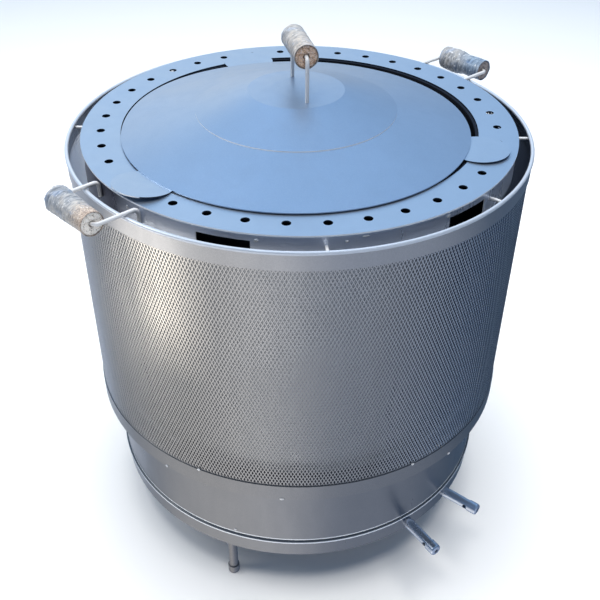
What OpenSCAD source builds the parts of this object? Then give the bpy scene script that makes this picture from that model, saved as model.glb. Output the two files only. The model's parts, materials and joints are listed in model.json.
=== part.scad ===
// Portable gas tandoor oven.
// A steel drum on three legs holds a barrel-shaped clay liner over two ring
// burners. A perforated plate closes the flue gap round the clay mouth, an
// expanded-metal guard keeps hands off the hot wall, and a loose conical lid
// covers the mouth. Every handle is a round rod through a turned wood grip.
//
// Origin on the drum axis at floor level, +X along the two side handles,
// -Y towards the gas pipes, +Z up. All sizes in millimetres.

/* [Drum] */
// Height of the top plate's upper face above the floor
top_h = 600; // [520:1:700]
// Outer diameter of the drum wall
drum_d = 557; // [540:1:565]
// Sheet thickness of the drum wall
drum_t = 1.5; // [1:0.1:2]
// Height of the drum's lower edge above the floor
drum_lift = 71.5; // [60:0.5:90]
// Height of the rolled bead above the drum's lower edge
bead_up = 27; // [24:1:40]
// Outer radius of the rolled bead
bead_r = 3; // [2.2:0.1:3.5]
// Number of hot-gas slots under the top plate
slot_count = 6; // [3:1:8]
// Width of a hot-gas slot
slot_w = 62; // [30:1:80]
// Height of a hot-gas slot
slot_h = 20; // [10:1:30]

/* [Top plate] */
// Outer diameter of the perforated top plate
ring_d = 560; // [558:1:570]
// Diameter of the mouth opening
mouth_d = 460; // [440:1:470]
// Thickness of the top plate
ring_t = 2; // [1:0.1:3]
// Number of vent holes in the top plate
vent_count = 36; // [12:1:48]
// Diameter of a vent hole
vent_d = 10.6; // [6:0.1:14]
// Angle of the first vent hole from +X
vent_phase = 4; // [0:0.5:10]

/* [Guard] */
// Inner diameter of the guard bands
guard_d = 596; // [590:1:610]
// Thickness of the guard's bands
band_t = 1.3; // [0.8:0.1:2]
// Thickness of the expanded-metal sheet
mesh_t = 1.2; // [0.8:0.1:2]
// Height of the top band
top_band_h = 24; // [15:1:40]
// Height of the bottom band
low_band_h = 24; // [15:1:40]
// Height of the bottom band's lower edge above the floor
guard_z = 211; // [150:1:260]
// Number of diamond openings in one row of the guard
diamond_count = 42; // [30:2:44]
// Number of staggered rows of diamonds
diamond_rows = 7; // [3:1:7]
// Width of a strand between two diamonds
strand_w = 5; // [4:0.5:8]
// Drop from the top plate's upper face to the top of the rolled rim
rim_drop = 7.5; // [7.5:0.1:12]
// Radius of the rolled rim
rim_r = 2.45; // [2:0.05:3]
// Diameter of a spacer rod
spacer_d = 4; // [3:0.5:5]

/* [Lid] */
// Diameter of the lid
lid_d = 444; // [420:1:455]
// Sheet thickness of the lid
lid_t = 1.2; // [0.8:0.1:2]
// How far the loose lid sits off centre along X
lid_dx = -14.7; // [-20:0.1:20]
// How far the loose lid sits off centre along Y
lid_dy = -9; // [-20:0.1:20]
// Diameter of the raised crown sheet
crown_d = 255; // [200:1:300]
// Height of the crown sheet's edge above the top plate
crown_up = 28.5; // [20:0.5:40]
// Diameter of the flatter cap in the middle of the crown
cap_d = 122; // [100:1:160]
// Height of the cap's edge above the top plate
cap_up = 51.5; // [45:0.5:60]
// Height of the lid's middle above the top plate
apex_up = 54.5; // [52:0.5:65]
// Diameter of a support disc under the lid's edge
tab_d = 72; // [50:1:80]
// Distance of the support discs from the lid's centre
tab_at = 235; // [226:1:240]
// Thickness of a support disc
tab_t = 1.5; // [1:0.1:2.5]

/* [Handles] */
// Diameter of the handle rods
rod_d = 5; // [4:0.1:5]
// Centre distance between the two arms of a handle
rod_span = 82; // [81:1:100]
// Bend radius of the rods, on the centre line
rod_bend = 7; // [6:0.5:10]
// Diameter of a wood grip
grip_d = 28; // [24:0.5:32]
// Length of a wood grip
grip_l = 72; // [56:1:73]
// Diameter of the wider mouth of a grip's bore
grip_mouth_d = 8; // [6.5:0.1:10]
// Thickness of the film wrapped round a grip
film_t = 1.2; // [0.5:0.1:2]
// Distance of a side grip's axis from the drum axis
side_reach = 332.5; // [330:0.5:350]
// Height of the lid grip's axis above the top plate
lid_grip_up = 107; // [95:0.5:120]
// Angle of the lid handle from +X
lid_handle_az = 60; // [0:1:90]
// How far the lid handle is welded off the lid's centre, towards the front
lid_handle_off = 6; // [0:0.5:10]
// Angle of the left handle from +X
left_az = 179.5; // [175:0.1:185]
// Angle of the right handle from +X
right_az = -1.4; // [-5:0.1:5]

/* [Clay liner] */
// Inner diameter of the clay at its mouth
clay_mouth_d = 452; // [430:1:460]
// Inner diameter of the clay at its foot
clay_foot_d = 436; // [400:1:440]
// Wall thickness of the clay
clay_t = 18; // [15:1:20]
// How far the clay bellies out between its ends
clay_belly = 15; // [5:1:16]
// Height of the shelf that carries the clay above the floor
shelf_z = 190; // [170:1:240]

/* [Gas parts] */
// Outer diameter of a gas pipe
pipe_d = 14.7; // [12:0.1:15]
// Inner diameter of a gas pipe
pipe_bore = 11.7; // [8:0.1:12]
// Angle of each gas pipe from the front, as seen from above
pipe_az = 8.5; // [6:0.1:12]
// Height of the gas pipes above the floor
pipe_z = 86; // [84:0.5:88]
// How far the inner burner's pipe stands out of the wall, with its jet cap
pipe_out = 58.5; // [45:0.5:90]
// How much farther the outer burner's pipe stands out
pipe_more = 6; // [0:0.5:10]
// Outer diameter of a jet cap
jet_d = 16.7; // [16:0.1:20]
// Diameter of the gas inlet in a jet cap
jet_bore = 6; // [3:0.5:8]
// Diameter of the air hole across a gas pipe
air_d = 7; // [4:0.5:8]
// Radius of the inner burner ring, on the tube's centre line
inner_burner_r = 95; // [70:1:120]
// Radius of the outer burner ring, on the tube's centre line
outer_burner_r = 245; // [235:1:250]
// Tube radius of the burner rings
burner_tube_r = 11; // [9:0.5:12]
// Height of the burner rings above the floor
burner_z = 112; // [108:1:130]

/* [Legs] */
// Diameter of a leg
leg_d = 13.5; // [10:0.5:16]
// Distance of the legs from the drum axis
leg_at = 268; // [250:1:268]
// Angle of the first leg from +X
leg_phase = -153.3; // [-160:0.1:-140]
// Diameter of a foot cap
foot_d = 16.4; // [14.5:0.1:20]
// Height of a foot cap
foot_h = 14; // [8:1:20]

/* [Hidden] */

$fn = 96;
drum_ro = drum_d / 2;
drum_ri = drum_ro - drum_t;
ring_z = top_h - ring_t;
bead_z = drum_lift + bead_up;
floor_t = 1.5;
floor_z = drum_lift + 2.5;
floor_top = floor_z + floor_t;
slot_top = top_h - 10.4;
slot_phase = 30;
shelf_t = 3;
shelf_hole_d = 352;
flue_hole_d = 14;
flue_hole_at = 264;
flue_hole_count = 36;

guard_ri = guard_d / 2;
rim_z = top_h - rim_drop - rim_r;
rim_at = guard_ri + 0.15;
mesh_top = rim_z - rim_r - 0.2;
mesh_ri = guard_ri - mesh_t;
mesh_edge = 2;
open_z0 = guard_z + low_band_h + mesh_edge;
open_z1 = rim_z + rim_r - top_band_h - mesh_edge;
upper_spacer_z = rim_z - rim_r - spacer_d / 2 - 0.5;
lower_spacer_z = guard_z + spacer_d / 2 - 1;
upper_spacer_az = [-127, -81, -46, 0, 45, 90, 135];
lower_spacer_az = [-169, -137, -89, -45, 0, 45, 90, 135];

lid_r = lid_d / 2;
lid_rest = 0.2;
lid_z = top_h + lid_rest + tab_t;
tab_az = [65, 180, 301];
tab_bend = [0.5, 8.2, 2.2];
tab_fold = lid_r + 1.3;
crown_r = crown_d / 2;
crown_lap = 12;
cap_r = cap_d / 2;

rod_r = rod_d / 2;
rod_z = ring_z - 0.2 - rod_r;
root_drop = 12;
root_seat = 0.4;
run_gap = 0.1;
mouth_depth = 6;
grip_edge = 1.5;
film_inset = 3;

clay_h = ring_z - shelf_z;
clay_steps = 20;
post_d = 8;
elbow_r = 14;
jet_l = 15;
jet_grip = 12;
air_back = 18;
burner_flat = 8;
port_d = 3;
port_depth = 4;

steel = [0.62, 0.68, 0.76];
dark_steel = [0.45, 0.47, 0.5];
terracotta = [0.66, 0.42, 0.3];
wood = [0.72, 0.54, 0.36];
film = [0.86, 0.87, 0.86];
iron = [0.3, 0.3, 0.31];

// ---- shapes that repeat ----

// A flat-sided tube between two heights
module sleeve(ro, ri, z0, z1, sides = 180) {
    translate([0, 0, z0]) difference() {
        cylinder(r = ro, h = z1 - z0, $fn = sides);
        translate([0, 0, -1]) cylinder(r = ri, h = z1 - z0 + 2, $fn = sides);
    }
}

// A rod that runs out along +X at -span/2, across along +Y, and back in
module u_rod(arm, span, r) {
    for (s = [-1, 1]) {
        translate([0, s * span / 2, 0]) rotate([0, 90, 0])
            cylinder(r = r, h = arm - rod_bend, $fn = 32);
        translate([arm - rod_bend, s * (span / 2 - rod_bend), 0])
            rotate([0, 0, s > 0 ? 0 : -90])
                rotate_extrude(angle = 90, $fn = 48)
                    translate([rod_bend, 0]) circle(r = r, $fn = 32);
    }
    translate([arm, -span / 2 + rod_bend, 0]) rotate([-90, 0, 0])
        cylinder(r = r, h = span - 2 * rod_bend, $fn = 32);
}

// Half the section of a grip: rounded ends, a running bore, wider bore mouths
module grip_section() {
    r = grip_d / 2;
    difference() {
        union() {
            translate([0, -grip_l / 2]) square([r - grip_edge, grip_l]);
            translate([0, -grip_l / 2 + grip_edge]) square([r, grip_l - 2 * grip_edge]);
            for (s = [-1, 1])
                translate([r - grip_edge, s * (grip_l / 2 - grip_edge)])
                    circle(r = grip_edge, $fn = 32);
        }
        translate([0, -grip_l]) square([rod_r + run_gap, 2 * grip_l]);
        for (s = [0, 1])
            translate([0, -grip_l / 2 + s * (grip_l - mouth_depth)])
                square([grip_mouth_d / 2, mouth_depth]);
    }
}

// A turned wood grip along Y
module wood_grip() {
    color(wood) rotate([90, 0, 0]) rotate_extrude($fn = 64) grip_section();
}

// The film round a grip, a little shorter than the wood
module film_sleeve() {
    color(film) rotate([90, 0, 0]) difference() {
        cylinder(r = grip_d / 2 + film_t, h = grip_l - film_inset, center = true, $fn = 64);
        cylinder(d = grip_d, h = grip_l, center = true, $fn = 64);
    }
}

// ---- drum ----

module drum_shell() {
    color(steel) difference() {
        rotate_extrude($fn = 180) difference() {
            union() {
                translate([drum_ri, drum_lift])
                    square([drum_t, ring_z - drum_lift]);
                translate([drum_ro - 0.5, bead_z]) circle(r = bead_r, $fn = 40);
            }
            translate([drum_ro - 0.5, bead_z])
                circle(r = bead_r - drum_t, $fn = 32);
            translate([drum_ri - bead_r, bead_z - bead_r])
                square([bead_r, 2 * bead_r]);
        }
        for (i = [0 : slot_count - 1])
            rotate([0, 0, slot_phase + i * 360 / slot_count])
                translate([drum_ri - 10, -slot_w / 2, slot_top - slot_h])
                    cube([20, slot_w, slot_h]);
        for (s = [-1, 1])
            at_pipe(s) translate([0, -drum_ro + 20, pipe_z]) rotate([90, 0, 0])
                cylinder(d = pipe_d, h = 40, $fn = 48);
    }
}

// The pan at the foot of the drum, open in the middle for air
module base_floor() {
    color(dark_steel) translate([0, 0, floor_z]) difference() {
        cylinder(r = drum_ri, h = floor_t, $fn = 180);
        translate([0, 0, -1]) cylinder(d = 120, h = floor_t + 2);
        for (i = [0 : 11])
            rotate([0, 0, 15 + i * 30]) translate([180, 0, -1])
                cylinder(d = 24, h = floor_t + 2, $fn = 32);
    }
}

module at_leg(i) {
    rotate([0, 0, leg_phase + i * 120]) translate([leg_at, 0, 0]) children();
}

module leg(i) {
    color(dark_steel) at_leg(i) translate([0, 0, foot_h - 6])
        cylinder(d = leg_d, h = floor_z - foot_h + 6, $fn = 40);
}

// A cap pressed over the end of a leg, with a rounded sole
module foot_cap(i) {
    edge = 2;
    color(iron) at_leg(i) difference() {
        rotate_extrude($fn = 48) union() {
            translate([0, edge]) square([foot_d / 2, foot_h - edge]);
            square([foot_d / 2 - edge, foot_h]);
            intersection() {
                translate([foot_d / 2 - edge, edge]) circle(r = edge, $fn = 32);
                square([foot_d / 2, edge]);
            }
        }
        translate([0, 0, foot_h - 6]) cylinder(d = leg_d, h = 7, $fn = 40);
    }
}

// ---- clay liner and the shelf that carries it ----

module liner_shelf() {
    color(dark_steel) translate([0, 0, shelf_z - shelf_t]) difference() {
        cylinder(r = drum_ri, h = shelf_t, $fn = 180);
        translate([0, 0, -1]) cylinder(d = shelf_hole_d, h = shelf_t + 2, $fn = 120);
        for (i = [0 : flue_hole_count - 1])
            rotate([0, 0, i * 360 / flue_hole_count])
                translate([flue_hole_at, 0, -1])
                    cylinder(d = flue_hole_d, h = shelf_t + 2, $fn = 24);
    }
}

// Inner radius of the clay at a share u of its height
function clay_r(u) =
    clay_foot_d / 2 + u * (clay_mouth_d - clay_foot_d) / 2
    + clay_belly * sin(180 * u);

module clay_liner() {
    us = [for (i = [0 : clay_steps]) i / clay_steps];
    inside = [for (u = us) [clay_r(u), u * clay_h]];
    outside = [for (i = [clay_steps : -1 : 0])
               [clay_r(us[i]) + clay_t, us[i] * clay_h]];
    color(terracotta) translate([0, 0, shelf_z])
        rotate_extrude($fn = 180) polygon(concat(inside, outside));
}

// ---- burners and gas pipes ----

// A round tube bent to a ring and pressed flat along its top
module burner_tube(r) {
    translate([0, 0, burner_z]) rotate_extrude($fn = 120)
        translate([r, 0]) difference() {
            circle(r = burner_tube_r, $fn = 40);
            translate([-burner_tube_r, burner_flat])
                square([2 * burner_tube_r, burner_tube_r]);
        }
}

module burner(r, ports) {
    color(iron) difference() {
        burner_tube(r);
        for (i = [0 : ports - 1])
            rotate([0, 0, (i + 0.5) * 360 / ports])
                translate([r, 0, burner_z + burner_flat - port_depth])
                    cylinder(d = port_d, h = port_depth + 2, $fn = 16);
    }
}

module burner_posts() {
    color(dark_steel) difference() {
        for (r = [inner_burner_r, outer_burner_r], a = [90, 210, 330])
            rotate([0, 0, a]) translate([r, 0, floor_top])
                cylinder(d = post_d, h = burner_z - floor_top, $fn = 32);
        burner_tube(inner_burner_r);
        burner_tube(outer_burner_r);
    }
}

// The pipes run in towards the drum's axis: s is 1 for the inner burner's, else -1
module at_pipe(s) rotate([0, 0, s * pipe_az]) children();

function pipe_end(s) = -drum_ro - pipe_out - (s < 0 ? pipe_more : 0);

// A pipe's path: in to y_turn, then up to the burner
module pipe_path(r, y_tip, y_turn) {
    translate([0, y_turn - elbow_r, pipe_z]) rotate([90, 0, 0])
        cylinder(r = r, h = y_turn - elbow_r - y_tip, $fn = 48);
    translate([0, y_turn - elbow_r, pipe_z + elbow_r])
        rotate([0, 90, 0]) rotate_extrude(angle = 90, $fn = 48)
            translate([elbow_r, 0]) circle(r = r, $fn = 48);
    translate([0, y_turn, pipe_z + elbow_r])
        cylinder(r = r, h = burner_z - pipe_z - elbow_r, $fn = 48);
}

module gas_pipe(s, ring_r) {
    y_tip = pipe_end(s) + jet_l - jet_grip;
    color(steel) difference() {
        at_pipe(s) difference() {
            pipe_path(pipe_d / 2, y_tip, -ring_r);
            pipe_path(pipe_bore / 2, y_tip - 1, -ring_r);
            translate([0, pipe_end(s) + air_back, pipe_z]) rotate([0, 90, 0])
                cylinder(d = air_d, h = pipe_d + 4, center = true, $fn = 32);
        }
        burner_tube(ring_r);
    }
}

// The cap on a pipe's end, with a domed face and the gas inlet
module jet_cap(s) {
    dome = 3;
    color(steel) at_pipe(s) translate([0, pipe_end(s), pipe_z]) rotate([-90, 0, 0])
        difference() {
            rotate_extrude($fn = 48) union() {
                translate([0, dome]) square([jet_d / 2, jet_l - dome]);
                square([jet_d / 2 - dome, jet_l]);
                intersection() {
                    translate([jet_d / 2 - dome, dome]) circle(r = dome, $fn = 32);
                    square([jet_d / 2, dome]);
                }
            }
            translate([0, 0, -1]) cylinder(d = jet_bore, h = jet_l + 2, $fn = 32);
            translate([0, 0, jet_l - jet_grip])
                cylinder(d = pipe_d, h = jet_grip + 1, $fn = 48);
        }
}

// ---- top plate and guard ----

module top_ring() {
    color(steel) translate([0, 0, ring_z]) difference() {
        cylinder(d = ring_d, h = ring_t, $fn = 180);
        translate([0, 0, -1]) cylinder(d = mouth_d, h = ring_t + 2, $fn = 180);
        for (i = [0 : vent_count - 1])
            rotate([0, 0, vent_phase + i * 360 / vent_count])
                translate([(ring_d + mouth_d) / 4, 0, -1])
                    cylinder(d = vent_d, h = ring_t + 2, $fn = 24);
    }
}

// Expanded metal: strands left between staggered rows of diamond openings.
// A diamond's sides keep half a strand's width from the lattice lines.
module guard_mesh() {
    half_w = PI * guard_ri / diamond_count;
    half_h = (open_z1 - open_z0) / (diamond_rows + 1);
    share = 1 - strand_w / 2 * norm([half_w, half_h]) / (half_w * half_h);
    w = share * half_w;
    h = share * half_h;
    color(steel) difference() {
        sleeve(guard_ri, mesh_ri, guard_z, mesh_top, 2 * diamond_count);
        for (row = [1 : diamond_rows], i = [1 : diamond_count])
            rotate([0, 0, (i + (row % 2) / 2) * 360 / diamond_count])
                translate([mesh_ri - 5, 0, open_z0 + row * half_h])
                    rotate([0, 90, 0]) linear_extrude(10)
                        polygon([[-h, 0], [0, -w], [h, 0], [0, w]]);
    }
}

module guard_top_band() {
    color(steel) rotate_extrude($fn = 180) union() {
        translate([guard_ri, rim_z - top_band_h + rim_r])
            square([band_t, top_band_h - rim_r]);
        translate([rim_at, rim_z]) circle(r = rim_r, $fn = 40);
    }
}

module guard_low_band() {
    color(steel)
        sleeve(guard_ri + band_t, guard_ri, guard_z, guard_z + low_band_h);
}

// Rods from the drum wall to the guard, their inner ends cut to the wall
module spacer_rods(azs, z, reach) {
    color(steel) difference() {
        for (a = azs)
            rotate([0, 0, a]) translate([drum_ro - 5, 0, z]) rotate([0, 90, 0])
                cylinder(d = spacer_d, h = reach - drum_ro + 5, $fn = 24);
        translate([0, 0, z - 10]) cylinder(r = drum_ro, h = 20, $fn = 180);
        sleeve(reach + 10, reach, z - 10, z + 10);
    }
}

// ---- lid ----

module lid_place() {
    translate([lid_dx, lid_dy, 0]) children();
}

// Outer sheet: a shallow cone from the edge to under the crown
module lid_cone() {
    slope = (top_h + crown_up - lid_z - 2 * lid_t) / (lid_r - crown_r);
    inner_r = crown_r - crown_lap;
    inner_z = slope * (lid_r - inner_r);
    color(steel) lid_place() translate([0, 0, lid_z]) rotate_extrude($fn = 180)
        polygon([[inner_r, inner_z], [lid_r, 0], [lid_r, lid_t],
                 [inner_r, inner_z + lid_t]]);
}

// Crown sheet: a steeper cone and a slightly domed cap, laid on the cone
module lid_crown() {
    z0 = top_h + crown_up - lid_t;
    z1 = top_h + cap_up - lid_t;
    z2 = top_h + apex_up - lid_t;
    color(steel) lid_place() rotate_extrude($fn = 180)
        polygon([[0, z2], [cap_r * 0.5, z2 - 0.8], [cap_r, z1],
                 [crown_r, z0], [crown_r, z0 + lid_t], [cap_r, z1 + lid_t],
                 [cap_r * 0.5, z2 - 0.8 + lid_t], [0, z2 + lid_t]]);
}

// A support disc: flat under the lid, bent up a little outside its edge
module lid_disc(i) {
    bend = tab_bend[i];
    far = tab_d;
    color(steel) lid_place() rotate([0, 0, tab_az[i]])
        translate([tab_fold, 0, lid_z - tab_t]) intersection() {
            translate([tab_at - tab_fold, 0, -1]) cylinder(d = tab_d, h = 30, $fn = 72);
            rotate([90, 0, 0]) linear_extrude(2 * far, center = true)
                polygon([[-far, 0], [0, 0], [far, far * tan(bend)],
                         [far, far * tan(bend) + tab_t / cos(bend)],
                         [-tab_t * tan(bend / 2), tab_t], [-far, tab_t]]);
        }
}

// The space under the lid's upper face, which the bail's feet are cut to
module lid_envelope() {
    z0 = top_h + crown_up;
    lid_place() rotate_extrude($fn = 180)
        polygon([[0, top_h], [crown_r, top_h], [crown_r, z0],
                 [cap_r, top_h + cap_up],
                 [cap_r * 0.5, top_h + apex_up - 0.8], [0, top_h + apex_up]]);
}

module lid_handle_place() {
    lid_place() translate([0, -lid_handle_off, top_h + lid_grip_up])
        rotate([0, 0, lid_handle_az - 90]) children();
}

module lid_bail() {
    drop = lid_grip_up - cap_up + 6;
    color(steel) difference() {
        lid_handle_place() rotate([0, -90, 0]) translate([-drop, 0, 0])
            u_rod(drop, rod_span, rod_r);
        lid_envelope();
    }
}

module lid_grip() {
    lid_handle_place() wood_grip();
}

module lid_film() {
    lid_handle_place() film_sleeve();
}

// ---- side handles ----

// A rod whose ends turn down and lie along the drum wall
module side_bail() {
    at_wall = drum_ro + rod_r - root_seat;
    root_x = sqrt(at_wall * at_wall - rod_span * rod_span / 4);
    bend_x = root_x + rod_bend;
    color(steel) difference() {
        union() {
            translate([bend_x, 0, rod_z]) u_rod(side_reach - bend_x, rod_span, rod_r);
            for (s = [-1, 1]) translate([bend_x, s * rod_span / 2, rod_z - rod_bend]) {
                rotate([90, 0, 0]) rotate([0, 0, 90]) rotate_extrude(angle = 90, $fn = 48)
                    translate([rod_bend, 0]) circle(r = rod_r, $fn = 32);
                translate([-rod_bend, 0, -root_drop])
                    cylinder(r = rod_r, h = root_drop, $fn = 32);
            }
        }
        translate([0, 0, rod_z - 40]) cylinder(r = drum_ro, h = 60, $fn = 180);
    }
}

module side_place() {
    translate([side_reach, 0, rod_z]) children();
}

module left_bail() rotate([0, 0, left_az]) side_bail();

module left_grip() rotate([0, 0, left_az]) side_place() wood_grip();

module left_film() rotate([0, 0, left_az]) side_place() film_sleeve();

module right_bail() rotate([0, 0, right_az]) side_bail();

module right_grip() rotate([0, 0, right_az]) side_place() wood_grip();

module right_film() rotate([0, 0, right_az]) side_place() film_sleeve();

drum_shell();
base_floor();
leg(0);  // leg_1
leg(1);  // leg_2
leg(2);  // leg_3
foot_cap(0);  // foot_cap_1
foot_cap(1);  // foot_cap_2
foot_cap(2);  // foot_cap_3
liner_shelf();
clay_liner();
burner(inner_burner_r, 16);  // inner_burner
burner(outer_burner_r, 24);  // outer_burner
burner_posts();
gas_pipe(1, inner_burner_r);  // gas_pipe_inner
gas_pipe(-1, outer_burner_r);  // gas_pipe_outer
jet_cap(1);  // jet_cap_inner
jet_cap(-1);  // jet_cap_outer
top_ring();
guard_mesh();
guard_top_band();
guard_low_band();
spacer_rods(upper_spacer_az, upper_spacer_z, mesh_ri);  // upper_spacers
spacer_rods(lower_spacer_az, lower_spacer_z, mesh_ri);  // lower_spacers
lid_cone();
lid_crown();
lid_disc(0);  // lid_disc_1
lid_disc(1);  // lid_disc_2
lid_disc(2);  // lid_disc_3
lid_bail();
lid_grip();
lid_film();
left_bail();
left_grip();
left_film();
right_bail();
right_grip();
right_film();
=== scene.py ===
"""Looks of the portable gas tandoor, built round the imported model."""

import json
import math

import bmesh
import bpy
import numpy as np
from mathutils import Matrix, Vector, noise


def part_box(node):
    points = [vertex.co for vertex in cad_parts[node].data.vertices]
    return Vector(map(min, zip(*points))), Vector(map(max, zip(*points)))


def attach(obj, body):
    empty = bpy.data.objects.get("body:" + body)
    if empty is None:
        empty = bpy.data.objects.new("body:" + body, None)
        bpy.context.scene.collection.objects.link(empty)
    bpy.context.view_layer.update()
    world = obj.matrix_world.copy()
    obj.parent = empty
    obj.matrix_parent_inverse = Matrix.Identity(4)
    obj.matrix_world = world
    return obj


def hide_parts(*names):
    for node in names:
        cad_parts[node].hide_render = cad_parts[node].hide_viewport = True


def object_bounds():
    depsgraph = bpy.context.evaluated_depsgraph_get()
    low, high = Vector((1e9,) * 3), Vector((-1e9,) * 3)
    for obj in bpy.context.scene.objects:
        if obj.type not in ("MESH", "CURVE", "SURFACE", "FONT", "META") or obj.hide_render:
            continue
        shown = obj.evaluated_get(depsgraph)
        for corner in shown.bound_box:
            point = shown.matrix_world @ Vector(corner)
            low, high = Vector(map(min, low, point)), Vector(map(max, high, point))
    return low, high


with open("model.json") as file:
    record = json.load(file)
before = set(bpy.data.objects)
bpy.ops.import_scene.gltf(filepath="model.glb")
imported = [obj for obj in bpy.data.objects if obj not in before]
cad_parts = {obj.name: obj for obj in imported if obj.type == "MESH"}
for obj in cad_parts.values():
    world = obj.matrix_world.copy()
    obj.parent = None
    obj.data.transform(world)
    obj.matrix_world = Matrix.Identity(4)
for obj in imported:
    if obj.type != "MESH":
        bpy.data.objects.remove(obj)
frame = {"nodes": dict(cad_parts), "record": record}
cad_box = [list(corner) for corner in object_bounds()]
MM = 0.001

# ---- camera ----

CAMERA_AT = (-0.6995, -0.7515, 1.0682)
CAMERA_AZIMUTH = math.radians(-43.0)
CAMERA_ELEVATION = math.radians(36.41)
CAMERA_ROLL = math.radians(0.37)
CAMERA_LENS, CAMERA_SENSOR = 50.87, 36.0
CAMERA_SHIFT = 0.0012


def make_camera():
    data = bpy.data.cameras.new("camera")
    camera = bpy.data.objects.new("camera", data)
    bpy.context.scene.collection.objects.link(camera)
    bpy.context.scene.camera = camera
    data.lens = CAMERA_LENS
    data.sensor_width = CAMERA_SENSOR
    data.shift_x = CAMERA_SHIFT
    a, e = CAMERA_AZIMUTH, CAMERA_ELEVATION
    back = Vector((math.sin(a) * math.cos(e), -math.cos(a) * math.cos(e), math.sin(e)))
    right = Vector((math.cos(a), math.sin(a), 0.0))
    up = back.cross(right)
    rolled_right = right * math.cos(CAMERA_ROLL) + up * math.sin(CAMERA_ROLL)
    rolled_up = up * math.cos(CAMERA_ROLL) - right * math.sin(CAMERA_ROLL)
    turn = Matrix((rolled_right, rolled_up, back)).transposed()
    camera.matrix_world = Matrix.Translation(CAMERA_AT) @ turn.to_4x4()


make_camera()

# ---- shader nodes ----


class Graph:
    """A material's node tree, with a Principled shader at its end."""

    def __init__(self, name, **sockets):
        self.material = bpy.data.materials.new(name)
        self.material.use_nodes = True
        self.tree = self.material.node_tree
        self.shader = self.tree.nodes["Principled BSDF"]
        for socket, value in sockets.items():
            self.shader.inputs[socket.replace("_", " ")].default_value = value

    def node(self, kind, inputs=(), **settings):
        node = self.tree.nodes.new("ShaderNode" + kind)
        for key, value in settings.items():
            setattr(node, key, value)
        for key, value in dict(inputs).items():
            self.feed(node.inputs[key], value)
        return node

    def feed(self, socket, value):
        if isinstance(value, bpy.types.NodeSocket):
            self.tree.links.new(value, socket)
        else:
            socket.default_value = value

    def place(self, scale=(1.0, 1.0, 1.0)):
        where = self.node("TexCoord").outputs["Object"]
        return self.node("Mapping", {"Vector": where, "Scale": scale}).outputs[0]

    def attribute(self, name, scale=(1.0, 1.0, 1.0)):
        where = self.node("Attribute", attribute_name=name).outputs["Vector"]
        return self.node("Mapping", {"Vector": where, "Scale": scale}).outputs[0]

    def noise(self, where, scale, detail=3.0, rough=0.55, twist=0.0):
        inputs = {"Vector": where, "Scale": scale, "Detail": detail,
                  "Roughness": rough, "Distortion": twist}
        return self.node("TexNoise", inputs).outputs["Fac"]

    def spread(self, value, low, high, from_low=0.3, from_high=0.7):
        inputs = {"Value": value, "From Min": from_low, "From Max": from_high,
                  "To Min": low, "To Max": high}
        return self.node("MapRange", inputs).outputs[0]

    def within(self, value, low, high, fade):
        """1 between low and high, falling to 0 over fade outside them."""
        rise = self.spread(value, 0.0, 1.0, low - fade, low)
        fall = self.spread(value, 1.0, 0.0, high, high + fade)
        return self.math("MULTIPLY", rise, fall)

    def mix(self, share, a, b, blend="MIX"):
        node = self.node("Mix", data_type="RGBA", blend_type=blend)
        self.feed(node.inputs[0], share)
        self.feed(node.inputs[6], a)
        self.feed(node.inputs[7], b)
        return node.outputs[2]

    def math(self, how, a, b=0.0):
        node = self.node("Math", operation=how)
        self.feed(node.inputs[0], a)
        self.feed(node.inputs[1], b)
        return node.outputs[0]

    def bump(self, height, strength, distance, under=None):
        inputs = {"Height": height, "Strength": strength, "Distance": distance}
        if under is not None:
            inputs["Normal"] = under
        return self.node("Bump", inputs).outputs["Normal"]

    def out(self, **sockets):
        for socket, value in sockets.items():
            self.feed(self.shader.inputs[socket.replace("_", " ")], value)
        return self.material


def grey(r, g, b):
    return (r, g, b, 1.0)


# ---- materials ----


def mark(tone, fade, metallic=None, upright=False, cut=False, around=None, **bands):
    """A place where the paint looks otherwise: most marks paint light and shade into the
    colour.

    Its bands limit z and r, the distance from the drum axis. around limits the angle
    about that axis in degrees, from the gas pipes towards the right handle, and fades
    over its third number. An upright mark holds only for sheet edges and walls, and a
    cut one only for faces that don't look away from the axis.
    """
    return {"tone": grey(*tone), "fade": fade, "metallic": metallic, "upright": upright,
            "cut": cut, "around": around, "bands": bands}


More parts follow.
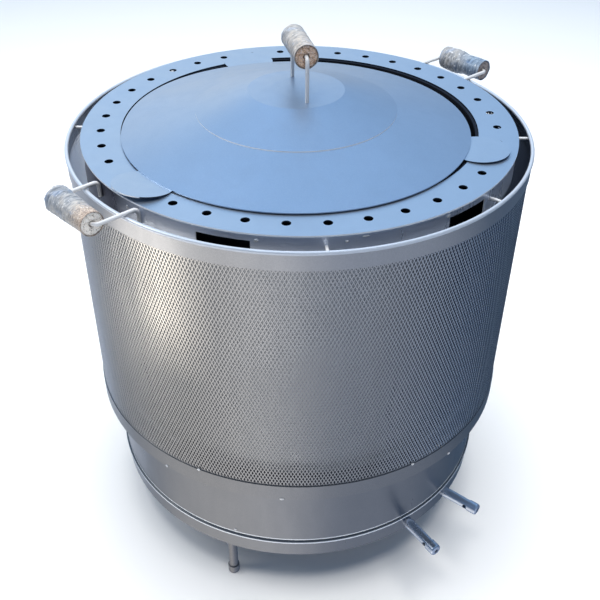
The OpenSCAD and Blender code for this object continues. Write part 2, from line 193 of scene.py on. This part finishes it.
def paint(name, colour, roughness, patch=0.06, peel=0.12, metallic=0.92,
          low_shade=(1.0, 0.0, 1.0), marks=()):
    """Sprayed silver paint: soft cloudy patches, fine flakes and orange peel.

    Shade is painted on it towards the floor, given as the share of its
    colour that is left, the height of that and the height where it starts.
    """
    g = Graph(name)
    cloud = g.noise(g.place(), 9.0, 4.0)
    flake = g.noise(g.place(), 1400.0, 1.0)
    drag = g.noise(g.place((1.0, 1.0, 0.25)), 55.0, 5.0, 0.6, 0.4)
    light = [min(1.0, c * (1.0 + patch)) for c in colour[:3]] + [1.0]
    dark = [c * (1.0 - patch) for c in colour[:3]] + [1.0]
    tone = g.mix(g.spread(cloud, 0.0, 1.0), dark, light)
    tone = g.mix(g.spread(drag, 0.0, 0.35, 0.45, 0.8), tone, dark)
    tone = g.mix(g.spread(flake, 0.0, 0.16, 0.4, 0.75), tone, grey(1.0, 1.0, 1.0))
    split = g.node("SeparateXYZ", {0: g.place()})
    across = g.node("VectorMath", {0: g.place((1.0, 1.0, 0.0))}, operation="LENGTH")
    where = {"z": split.outputs["Z"], "r": across.outputs["Value"]}
    front = g.math("MULTIPLY", split.outputs["Y"], -1.0)
    turn = g.math("DEGREES", g.math("ARCTAN2", split.outputs["X"], front))
    normal = g.node("NewGeometry").outputs["Normal"]
    facing = g.node("SeparateXYZ", {0: normal})
    upright = g.spread(g.math("ABSOLUTE", facing.outputs["Z"]), 1.0, 0.0, 0.4, 0.6)
    outward = g.node("VectorMath", {0: g.place((1.0, 1.0, 0.0))}, operation="NORMALIZE")
    away = g.node("VectorMath", {0: normal, 1: outward.outputs[0]}, operation="DOT_PRODUCT")
    cut = g.spread(away.outputs["Value"], 1.0, 0.0, 0.4, 0.6)
    left, low, high = low_shade
    # Painted shade: the colour darkens towards the floor.
    low_shade_share = g.spread(where["z"], 1.0 - left, 0.0, low, high)
    tone = g.mix(low_shade_share, tone, grey(0.0, 0.0, 0.0))
    metal = metallic
    for spot in marks:
        share = upright if spot["upright"] else cut if spot["cut"] else 1.0
        if spot["around"]:
            share = g.math("MULTIPLY", share, g.within(turn, *spot["around"]))
        for axis, (start, end) in spot["bands"].items():
            band = g.within(where[axis], start, end, spot["fade"])
            share = g.math("MULTIPLY", share, band)
        tone = g.mix(share, tone, spot["tone"])
        if spot["metallic"] is not None:
            metal = g.node("MapRange", {"Value": share, "To Min": metal,
                                        "To Max": spot["metallic"]}).outputs[0]
    rough = g.math("ADD", g.spread(cloud, roughness - 0.04, roughness + 0.05),
                   g.spread(drag, -0.03, 0.05))
    peel_height = g.noise(g.place(), 260.0, 3.0)
    bump = g.bump(peel_height, peel, 0.0006)
    return g.out(Base_Color=tone, Metallic=metal, Roughness=rough, Normal=bump)


# The pale edge tone is a painted highlight for thin sheet edges and the bead's lines.
SOOT, EDGE_HIGHLIGHT = (0.012, 0.015, 0.022), (0.92, 0.94, 0.97)
# The around marks paint light and shade into the colour. Their angles and tones were fitted
# from the photo's side, and they stay on the object in every view.
RIGHT_SIDE = (0, 90, 25)
DRUM_MARKS = (
    # Painted light: the wall behind the guard is held bright, above the painted shade
    # towards the floor.
    mark((0.50, 0.52, 0.54), 20 * MM, None, z=(262 * MM, 555 * MM)),
    # Painted shade on the wall behind the guard, on the right side.
    mark((0.05, 0.06, 0.10), 20 * MM, None, around=RIGHT_SIDE, z=(0.26, 0.555)),
    # Painted shade on the wall behind the guard, on the left side.
    mark((0.24, 0.25, 0.26), 20 * MM, None, around=(-160, -72, 16), z=(0.26, 0.555)),
    # Painted shadow of the guard's bottom band on the wall behind it.
    mark((0.015, 0.018, 0.03), 8 * MM, 0.5, z=(212 * MM, 236 * MM)),
    # Painted reflection of the sky: the wall in the gap under the top ring is pale blue.
    mark((0.72, 0.78, 0.90), 6 * MM, 0.6, z=(568 * MM, 0.62)),
    # Painted shade in that gap on the left side, under the top ring and the guard's rim.
    mark((0.07, 0.07, 0.10), 12 * MM, 0.5, around=(-170, -92, 8),
         z=(560 * MM, 0.62)),
    # Painted highlight on the slots' cut faces, on the front half.
    mark(EDGE_HIGHLIGHT, 0.1 * MM, 0.0, around=(-90, 50, 5), z=(560 * MM, 0.6), r=(0.0, 278.25 * MM)),
    mark(SOOT, 0.1 * MM, 0.2, r=(0.0, 277.2 * MM)),
    # Painted highlight along the bead's upper side.
    mark(EDGE_HIGHLIGHT, 0.8 * MM, 0.3, z=(103.0 * MM, 104.2 * MM), r=(0.2778, 0.29)),
    # Painted shade along the bead's middle.
    mark((0.10, 0.11, 0.12), 0.6 * MM, 0.5, z=(100.8 * MM, 102.0 * MM), r=(0.2778, 0.29)),
    # Painted highlight along the bead's lower side.
    mark(EDGE_HIGHLIGHT, 0.8 * MM, 0.3, z=(97.6 * MM, 99.2 * MM), r=(0.2778, 0.29)))
# Painted shade on the ring's inner edge at the mouth, dark blue under the lid.
PLATE_MARKS = (mark((0.02, 0.03, 0.05), 1 * MM, 0.5, True, r=(0.0, 0.275)),
               # Painted highlight on the ring's outer edge.
               mark(EDGE_HIGHLIGHT, 1 * MM, 0.0, True, r=(0.279, 0.285)))

MATERIALS = {
    # The darkening towards the floor in these paints is painted shade.
    "steel_paint": paint("silver_paint_drum", grey(0.52, 0.54, 0.58), 0.30,
                         low_shade=(0.45, 0.20, 0.26), marks=DRUM_MARKS),
    "band_paint": paint("silver_paint_band", grey(0.36, 0.37, 0.39), 0.34, 0.04,
                        low_shade=(0.65, 0.24, 0.5),
                        # Painted highlight on the band's rolled rim.
                        marks=(mark((0.62, 0.66, 0.72), 0.6 * MM, 0.55,
                                    z=(588 * MM, 0.6)),)),
    # The plate's blue tint is a painted reflection of the sky on its upward faces.
    "plate_paint": paint("silver_paint_plate", grey(0.60, 0.70, 0.82), 0.42, 0.04,
                         marks=PLATE_MARKS),
    # The lid's blue tint is a painted reflection of the sky on its upward faces.
    "lid_paint": paint("silver_paint_lid", grey(0.50, 0.60, 0.74), 0.36, 0.05,
                       # Painted highlight on the lid's upright edges near its top.
                       marks=(mark((1.0, 1.0, 1.0), 1 * MM, 0.0, True,
                                   z=(620 * MM, 0.64)),)),
    "mesh_paint": paint("silver_paint_mesh", grey(0.46, 0.46, 0.46), 0.40, 0.03,
                        low_shade=(0.85, 0.2, 0.55),
                        # Painted reflection of the sky: the strands are lighter and bluer
                        # on the right side.
                        marks=(mark((0.56, 0.62, 0.70), 20 * MM, None, around=RIGHT_SIDE),
                               # Painted highlight on the strands at the upper left.
                               mark((0.80, 0.77, 0.72), 90 * MM, None,
                                    around=(-75, -70, 9), z=(0.47, 0.60)),
                               # Painted reflection: the strands' cut faces are pale blue on
                               # the left side.
                               mark((0.85, 0.90, 0.98), 20 * MM, None, cut=True,
                                    around=(-160, -106, 14)),
                               # Painted shade on the strands' cut faces on the right side.
                               mark((0.16, 0.18, 0.22), 20 * MM, None, cut=True,
                                    around=(-50, 90, 20)))),
    "rod_paint": paint("silver_paint_rod", grey(0.72, 0.71, 0.70), 0.34, 0.03,
                       metallic=0.35),
    "pipe_paint": paint("silver_paint_pipe", grey(0.55, 0.62, 0.74), 0.24, 0.05),
    "steel_dark": paint("silver_paint_dull", grey(0.22, 0.22, 0.23), 0.45, 0.1),
    "iron": paint("black_iron", grey(0.05, 0.05, 0.05), 0.6, 0.2, 0.3, 0.4),
}


def clay():
    """Fired clay, blackened by soot except low in the chamber."""
    g = Graph("fired_clay", Roughness=0.9)
    body = g.noise(g.place(), 30.0, 6.0, 0.65)
    sand = g.noise(g.place(), 600.0, 2.0)
    tone = g.mix(g.spread(body, 0.0, 1.0), grey(0.24, 0.15, 0.10), grey(0.42, 0.27, 0.18))
    tone = g.mix(g.spread(sand, 0.0, 0.4), tone, grey(0.55, 0.42, 0.32))
    height = g.node("SeparateXYZ", {0: g.place()}).outputs["Z"]
    ragged = g.math("ADD", height, g.math("MULTIPLY", body, 0.08))
    soot = g.spread(ragged, 0.0, 1.0, 0.42, 0.54)
    tone = g.mix(soot, tone, grey(0.006, 0.008, 0.014))
    return g.out(Base_Color=tone, Normal=g.bump(sand, 0.5, 0.001))


def wood():
    """End grain and sides of a turned dowel, paler or redder by its pale value, with
    painted shade by its dark value.
    """
    g = Graph("turned_wood", Roughness=0.6)
    own = g.attribute("own")
    rings = g.noise(g.attribute("own", (1.0, 0.06, 1.0)), 420.0, 4.0, 0.65, 1.2)
    pores = g.noise(own, 900.0, 3.0, 0.6)
    red = g.mix(g.spread(rings, 0.0, 1.0, 0.4, 0.6), grey(0.36, 0.16, 0.08),
                grey(0.92, 0.58, 0.34))
    light = g.mix(g.spread(rings, 0.0, 1.0, 0.35, 0.5), grey(0.55, 0.44, 0.34),
                  grey(0.98, 0.90, 0.80))
    tone = g.mix(g.node("Attribute", attribute_name="pale").outputs["Fac"], red, light)
    tone = g.mix(g.spread(pores, 0.0, 0.8, 0.52, 0.66), tone, grey(0.78, 0.76, 0.74))
    tone = g.mix(g.spread(pores, 0.85, 0.0, 0.34, 0.44), tone, grey(0.05, 0.03, 0.02))
    # Painted shade: a blue-black darkening, by the dark value.
    dark = g.node("Attribute", attribute_name="dark").outputs["Fac"]
    tone = g.mix(dark, tone, grey(0.05, 0.065, 0.10))
    return g.out(Base_Color=tone, Normal=g.bump(rings, 0.5, 0.0006))


def film():
    """Milky stretch film: pale on its folds with painted shade between them, wood showing
    through, and a painted blue shade along some grips.
    """
    g = Graph("stretch_film", Roughness=0.28)
    own = g.attribute("own")
    fold = g.node("Attribute", attribute_name="fold").outputs["Fac"]
    bare = g.node("Attribute", attribute_name="bare").outputs["Fac"]
    # The folds are the film's milky layers; the dark tone between them is painted shade.
    tone = g.mix(g.spread(fold, 0.0, 1.0, 0.0, 1.0), grey(0.12, 0.13, 0.14),
                 grey(0.49, 0.46, 0.43))
    tint = g.noise(own, 70.0, 2.0)
    tone = g.mix(g.spread(tint, 0.0, 0.5, 0.54, 0.68), tone, grey(0.28, 0.34, 0.44))
    tone = g.mix(g.spread(tint, 0.55, 0.0, 0.32, 0.46), tone, grey(0.52, 0.46, 0.39))
    speck = g.noise(own, 620.0, 3.0, 0.6)
    under = g.mix(g.spread(speck, 0.0, 1.0, 0.4, 0.6), grey(0.20, 0.12, 0.075),
                  grey(0.52, 0.43, 0.35))
    share = g.spread(g.math("ADD", speck, bare), 0.0, 1.0, 0.85, 1.15)
    tone = g.mix(share, tone, under)
    # Painted shade: a blue darkening along the grips, most at the right grip's near end.
    cool = g.node("Attribute", attribute_name="cool").outputs["Fac"]
    tone = g.mix(cool, tone, grey(0.52, 0.72, 1.0), "MULTIPLY")
    glint = g.noise(own, 300.0, 2.0)
    tone = g.mix(g.spread(glint, 0.0, 0.6, 0.62, 0.72), tone, grey(0.8, 0.8, 0.8))
    return g.out(Base_Color=tone, Normal=g.bump(glint, 0.4, 0.0008))


MATERIALS["clay"] = clay()
MATERIALS["wood"] = wood()
MATERIALS["film"] = film()

for part in frame["record"]["subparts"]:
    node = frame["nodes"][part["node"]]
    node.data.materials.clear()
    node.data.materials.append(MATERIALS[part["material_slot"]])


# ---- meshes ----


def add_mesh(name, points, faces, slot, body="root", smooth=True):
    mesh = bpy.data.meshes.new(name)
    mesh.from_pydata(points, [], faces)
    mesh.validate()
    mesh.materials.append(MATERIALS[slot])
    if smooth:
        mesh.shade_smooth()
    piece = bpy.data.objects.new(name, mesh)
    bpy.context.scene.collection.objects.link(piece)
    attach(piece, body)
    return piece


# ---- expanded-metal guard ----

DIAMOND_W, DIAMOND_H = 4.47 * MM, 9.35 * MM
# STRAND_TILT moves a lattice node's right corner out from the axis, its left one in
STRAND_W, STRAND_T, STRAND_TILT = 1.15 * MM, 0.85 * MM, -0.06 * MM
SHEET_HALF = 0.6 * MM
GUARD_SECTORS = 4


def expanded_metal():
    """A lattice of nearly flat strands round the guard, in sectors of one sheet."""
    low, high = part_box("guard_mesh")
    outer = (high.x - low.x) / 2
    middle = outer - SHEET_HALF
    diamonds = GUARD_SECTORS * round(2 * math.pi * middle / DIAMOND_W / GUARD_SECTORS)
    rows = round((high.z - low.z) / DIAMOND_H)
    half_w, half_h = math.pi * middle / diamonds, (high.z - low.z) / rows / 2
    reach = half_w * half_h / math.hypot(half_w, half_h)
    hole = 1 - STRAND_W / 2 / reach
    tip_x, tip_z = half_w * (1 - hole), half_h * (1 - hole)
    # A node's corners: top, right, bottom, left
    corner = np.array([[0, tip_z, 0], [tip_x, 0, STRAND_TILT],
                       [0, -tip_z, 0], [-tip_x, 0, -STRAND_TILT]])
    span = 2 * diamonds // GUARD_SECTORS
    for sector in range(GUARD_SECTORS):
        points, index = [], {}
        for i in range(sector * span, (sector + 1) * span + 1):
            for j in range(2 * rows + 1):
                if (i + j) % 2:
                    continue
                index[i, j] = len(points)
                for side in (STRAND_T / 2, -STRAND_T / 2):
                    for dx, dz, dr in corner:
                        angle = (i * half_w + dx) / middle
                        radius = middle + dr + side
                        z = min(max(low.z + j * half_h + dz, low.z), high.z)
                        points.append((radius * math.cos(angle),
                                       radius * math.sin(angle), z))
        add_sector(f"guard_mesh_{sector + 1}", points, index)


def add_sector(name, points, index):
    """Faces between the node corners: T, R, B, L outside, then the same inside."""
    faces = []
    for (i, j), n in index.items():
        faces.append((n + 3, n + 2, n + 1, n))
        faces.append((n + 4, n + 5, n + 6, n + 7))
        m = index.get((i + 1, j + 1))
        if m is not None:
            faces.append((n, n + 1, m + 2, m + 3))
            faces.append((n + 4, m + 7, m + 6, n + 5))
            faces.append((n, m + 3, m + 7, n + 4))
            faces.append((n + 1, n + 5, m + 6, m + 2))
        m = index.get((i + 1, j - 1))
        if m is not None:
            faces.append((n + 1, n + 2, m + 3, m))
            faces.append((n + 5, m + 4, m + 7, n + 6))
            faces.append((n + 1, m, m + 4, n + 5))
            faces.append((n + 2, n + 6, m + 7, m + 3))
    piece = add_mesh(name, points, faces, "mesh_paint", smooth=False)
    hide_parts("guard_mesh")


expanded_metal()

# ---- lid edge ----

# How far the lid's edge is bent out, and the azimuth and spread of that in degrees
BEND, BEND_AT, BEND_SPREAD = 4.4 * MM, 101.0, 42.0
# Share of the lid's radius where the bend starts
BEND_FROM = 0.9


def bent_lid():
    """The lid's outer sheet, its edge bent out a little over the mouth's back left."""
    mesh = frame["nodes"]["lid_cone"].data.copy()
    low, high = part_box("lid_cone")
    centre, radius = (low + high) / 2, (high.x - low.x) / 2
    for vertex in mesh.vertices:
        out = Vector((vertex.co.x - centre.x, vertex.co.y - centre.y, 0.0))
        turn = abs(math.degrees(math.atan2(out.y, out.x)) - BEND_AT) / BEND_SPREAD
        share = max(0.0, out.length / radius - BEND_FROM) / 0.1
        if turn < 1 and share > 0:
            bend = BEND * share * math.cos(turn * math.pi / 2) ** 2
            vertex.co += out.normalized() * bend
    piece = bpy.data.objects.new("lid_sheet", mesh)
    bpy.context.scene.collection.objects.link(piece)
    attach(piece, "lid")
    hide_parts("lid_cone")


bent_lid()

# ---- welds ----

# Azimuth in degrees, height, distance from the axis, width and height, in mm
WELDS = [(-142.2, 591, 278.6, 5, 4), (-118.3, 594, 278.6, 8, 3), (-97.0, 593, 278.6, 5, 5),
         (-122.5, 590, 278.6, 4, 3), (-176.6, 588, 278.6, 4, 4), (-151.0, 108, 278.6, 4, 4),
         (-136.8, 212, 299.6, 6, 3), (-168.8, 212, 299.6, 5, 3), (-89.4, 212, 299.6, 5, 3),
         (-158.3, 236, 300.1, 5, 3), (-102.8, 236, 300.1, 5, 3)]


def weld_spots():
    """Flat blobs of weld, as one mesh."""
    points, faces = [], []
    for azimuth, z, r, width, height in WELDS:
        a = math.radians(azimuth)
        out = Vector((math.cos(a), math.sin(a), 0.0))
        side = Vector((-math.sin(a), math.cos(a), 0.0))
        blob = bmesh.new()
        bmesh.ops.create_icosphere(blob, subdivisions=3, radius=1.0)
        start = len(points)
        for v in blob.verts:
            lump = 1 + 0.25 * noise.noise(v.co * 1.7 + Vector((azimuth, z, 0.0)))
            own = v.co * lump * MM
            points.append(out * (r * MM + own.x * 1.1) + side * (own.y * width / 2)
                          + Vector((0.0, 0.0, z * MM + own.z * height / 2)))
        faces += [tuple(start + v.index for v in f.verts) for f in blob.faces]
        blob.free()
    add_mesh("weld_spots", points, faces, "rod_paint")


weld_spots()

# ---- grips and their film ----

GRIP_R, GRIP_HALF, GRIP_EDGE = 14 * MM, 36 * MM, 1.5 * MM
BORE_R, MOUTH_R, MOUTH = 2.6 * MM, 4 * MM, 6 * MM
FILM_R, FILM_PAST, FILM_TURN = 15.2 * MM, 0.7 * MM, 8.5 * MM


def grip_frame(name):
    """A grip's centre and its own axes: Y along it, away from the photo's side, Z up."""
    node = frame["nodes"][name]
    points = np.array([node.matrix_world @ v.co for v in node.data.vertices])
    centre = (points.max(0) + points.min(0)) / 2
    along = np.linalg.svd(points - centre, full_matrices=False)[2][0]
    along = along if along[1] > 0 else -along
    up = np.array([0.0, 0.0, 1.0])
    return centre, np.array([np.cross(along, up), along, up])


def turned(name, grip, body, slot, profile, surface, sides=120):
    """A closed form turned about a grip's axis.

    surface(angle, r, y) gives each point's r and y and its own values.
    """
    centre, axes = grip
    points, own, values = [], [], []
    for r0, y0 in profile:
        for k in range(sides):
            angle = 2 * math.pi * k / sides
            r, y, facts = surface(angle, r0, y0)
            place = np.array([r * math.cos(angle), y, r * math.sin(angle)])
            points.append(centre + place @ axes)
            own.append(place)
            values.append(facts)
    rings = len(profile)
    faces = []
    for i in range(rings):
        for k in range(sides):
            a, b = i * sides, (i + 1) % rings * sides
            j = (k + 1) % sides
            faces.append((a + k, a + j, b + j, b + k))
    piece = add_mesh(name, points, faces, slot, body)
    layer = piece.data.attributes.new("own", "FLOAT_VECTOR", "POINT")
    layer.data.foreach_set("vector", np.array(own).ravel())
    for key in values[0]:
        layer = piece.data.attributes.new(key, "FLOAT", "POINT")
        layer.data.foreach_set("value", [facts[key] for facts in values])
    return piece


def wood_grip(side, pale, dark=0.0):
    """The turned dowel, with a wide-mouthed bore and a worn face."""
    edge = [(GRIP_R - GRIP_EDGE * (1 - math.sin(t)),
             GRIP_HALF - GRIP_EDGE * (1 - math.cos(t)))
            for t in (0.0, 0.4, 0.8, 1.2, math.pi / 2)]
    face = [(r * MM, GRIP_HALF) for r in (4.4, 6.0, 7.5, 9.0, 10.5, 11.8)]
    half = [(BORE_R, GRIP_HALF - MOUTH), (MOUTH_R, GRIP_HALF - MOUTH),
            (MOUTH_R, GRIP_HALF - 0.4 * MM)] + face + edge
    turns = [(GRIP_R, y * MM) for y in range(30, -31, -6)]
    profile = half + turns + [(r, -y) for r, y in reversed(half)]

    def surface(angle, r, y):
        at = Vector((r * math.cos(angle), y, r * math.sin(angle))) * 400
        if r > MOUTH_R * 1.05:
            dent = max(0.0, noise.noise(at)) * 0.3 * MM
            y -= math.copysign(dent, y)
            r -= dent if r > GRIP_R - 0.1 * MM else 0.0
        return r, y, {"pale": pale, "dark": dark}

    piece = turned(side + "_grip_wood", grip_frame(side + "_grip"), side + "_handle",
                   "wood", profile, surface, 96)
    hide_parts(side + "_grip")


def film_wrap(side, bulk, bare, cool, shift):
    """Stretch film in overlapping turns.

    bulk, bare and cool, a painted blue shade, follow the length, near end first.
    """
    reach = GRIP_HALF + FILM_PAST
    rings = 150
    outer = [(FILM_R, reach * (1 - 2 * i / rings)) for i in range(rings + 1)]
    inner = [(GRIP_R + 0.05 * MM, reach * (2 * i / 8 - 1)) for i in range(9)]

    def along(values, y):
        at = (y / reach + 1) / 2 * (len(values) - 1)
        i = min(int(at), len(values) - 2)
        return values[i] + (values[i + 1] - values[i]) * (at - i)

    def surface(angle, r, y):
        facts = {"fold": 0.0, "bare": along(bare, y), "cool": along(cool, y)}
        if r < FILM_R:
            return r, y, facts
        c, s = math.cos(angle), math.sin(angle)
        step = ((y + 3 * MM * s) / FILM_TURN + angle / (2 * math.pi) + shift) % 1
        wide = noise.noise(Vector((c * 0.9 + shift, y * 260 + 0.5 * s, s * 0.9)))
        fine = noise.noise(Vector((c * 1.6, y * 900 + 0.9 * c, s * 1.6 + shift)))
        ridge = (1 - min(1.0, abs(2.6 * wide))) ** 2
        fold = 0.45 * ridge + 0.3 * (1 - abs(fine) * 2) + 0.25 * step
        lift = along(bulk, y) * MM * (0.35 + 0.65 * max(0.0, fold))
        y += 0.7 * MM * noise.noise(Vector((c * 2, s * 2, shift))) * abs(y) / reach
        facts["fold"] = fold
        return GRIP_R + 0.1 * MM + lift, y, facts

    piece = turned(side + "_film_wrap", grip_frame(side + "_grip"), side + "_handle",
                   "film", outer + inner, surface)
    for vertex in piece.data.vertices:
        vertex.co.x = min(max(vertex.co.x, cad_box[0][0]), cad_box[1][0])
        vertex.co.z = min(vertex.co.z, cad_box[1][2])
    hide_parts(side + "_film")


wood_grip("lid", 0.1)
wood_grip("left", 1.0)
# The right grip's wood gets painted shade.
wood_grip("right", 0.4, 0.7)
# The last sequence of each wrap paints a blue shade along it.
film_wrap("lid", (1.2, 1.1, 1.3, 1.5), (0.42, 0.38, 0.3, 0.16), (0.0, 0.0), 0.2)
film_wrap("left", (0.6, 0.8, 1.8, 2.4, 3.4), (0.68, 0.5, 0.16, 0.12, 0.1),
          (0.0, 0.0, 0.25, 0.3, 0.4), 3.1)
film_wrap("right", (1.0, 1.4, 1.3, 0.3, 3.0, 3.8, 3.4, 2.4), (0.3, 0.1, 0.1, 0.1, 0.1, 0.1),
          (0.9, 1.0, 0.5, 0.2, 0.1), 7.4)

# ---- floor and light ----

FLOOR_HALF = 12.0

def make_floor():
    mesh = bpy.data.meshes.new("floor")
    size = FLOOR_HALF
    corners = [(-size, -size, 0), (size, -size, 0), (size, size, 0), (-size, size, 0)]
    mesh.from_pydata(corners, [], [(0, 1, 2, 3)])
    g = Graph("floor_paint", Roughness=0.9)
    tone = g.mix(g.noise(g.place(), 3.0), grey(0.95, 0.92, 0.88), grey(0.97, 0.94, 0.90))
    mesh.materials.append(g.out(Base_Color=tone))
    floor = bpy.data.objects.new("floor", mesh)
    floor.visible_glossy = False
    bpy.context.scene.collection.objects.link(floor)


def toward(azimuth, elevation):
    a, e = math.radians(azimuth), math.radians(elevation)
    return Vector((math.cos(a) * math.cos(e), math.sin(a) * math.cos(e), math.sin(e)))


def area_light(name, at, aim, size, watts, colour, glossy=True):
    data = bpy.data.lights.new(name, "AREA")
    data.shape = "DISK"
    data.size = size
    data.energy = watts
    data.color = colour
    light = bpy.data.objects.new(name, data)
    bpy.context.scene.collection.objects.link(light)
    light.location = at
    light.rotation_mode = "QUATERNION"
    light.rotation_quaternion = (at - aim).to_track_quat("Z", "Y")
    light.visible_camera = False
    light.visible_glossy = glossy


# Soft glows of the studio: azimuth, elevation, reach in degrees, colour
SKY_BASE = (0.09, 0.15, 0.25)
SKY_GLOWS = [(180, -38, 54, (1.05, 0.96, 0.84)),
             (75, -35, 42, (0.75, 0.77, 0.82)),
             (70, 50, 75, (0.25, 0.42, 0.62)),
             (62, 8, 35, (0.42, 0.32, 0.16)),
             (-100, -30, 66, (0.42, 0.42, 0.45))]


def make_sky():
    """Studio surroundings: a bright window side, a cool sky behind, a dim right."""
    world = bpy.data.worlds.new("sky")
    world.use_nodes = True
    tree = world.node_tree
    way = tree.nodes.new("ShaderNodeTexCoord").outputs["Generated"]
    total = None
    for azimuth, elevation, reach, colour in SKY_GLOWS:
        near = tree.nodes.new("ShaderNodeVectorMath")
        near.operation = "DOT_PRODUCT"
        tree.links.new(way, near.inputs[0])
        near.inputs[1].default_value = toward(azimuth, elevation)
        share = tree.nodes.new("ShaderNodeMapRange")
        share.interpolation_type = "SMOOTHSTEP"
        share.inputs["From Min"].default_value = math.cos(math.radians(reach))
        tree.links.new(near.outputs["Value"], share.inputs["Value"])
        glow = tree.nodes.new("ShaderNodeVectorMath")
        glow.operation = "MULTIPLY_ADD"
        tree.links.new(share.outputs[0], glow.inputs[0])
        glow.inputs[1].default_value = colour
        if total is None:
            glow.inputs[2].default_value = SKY_BASE
        else:
            tree.links.new(total, glow.inputs[2])
        total = glow.outputs[0]
    tree.links.new(total, tree.nodes["Background"].inputs["Color"])
    bpy.context.scene.world = world


make_floor()
make_sky()
CENTRE, LIGHT_AWAY = Vector((0.0, 0.0, 0.4)), 3.0
area_light("key", CENTRE + toward(141, 38) * LIGHT_AWAY, CENTRE, 1.6, 22.0,
           (1.0, 0.96, 0.90))
area_light("overhead", CENTRE + toward(0, 89) * LIGHT_AWAY, CENTRE, 3.0, 170.0,
           (1.0, 0.99, 0.97), glossy=False)
PANEL_AWAY, PANEL_UP = 1.1, 0.03
panel = toward(157, 0) * PANEL_AWAY + Vector((0.0, 0.0, PANEL_UP))
area_light("floor_panel", panel, panel + Vector((0.0, 0.0, 1.0)), 0.8, 2.7,
           (1.0, 0.93, 0.83))
bpy.context.scene.view_settings.view_transform = "Standard"
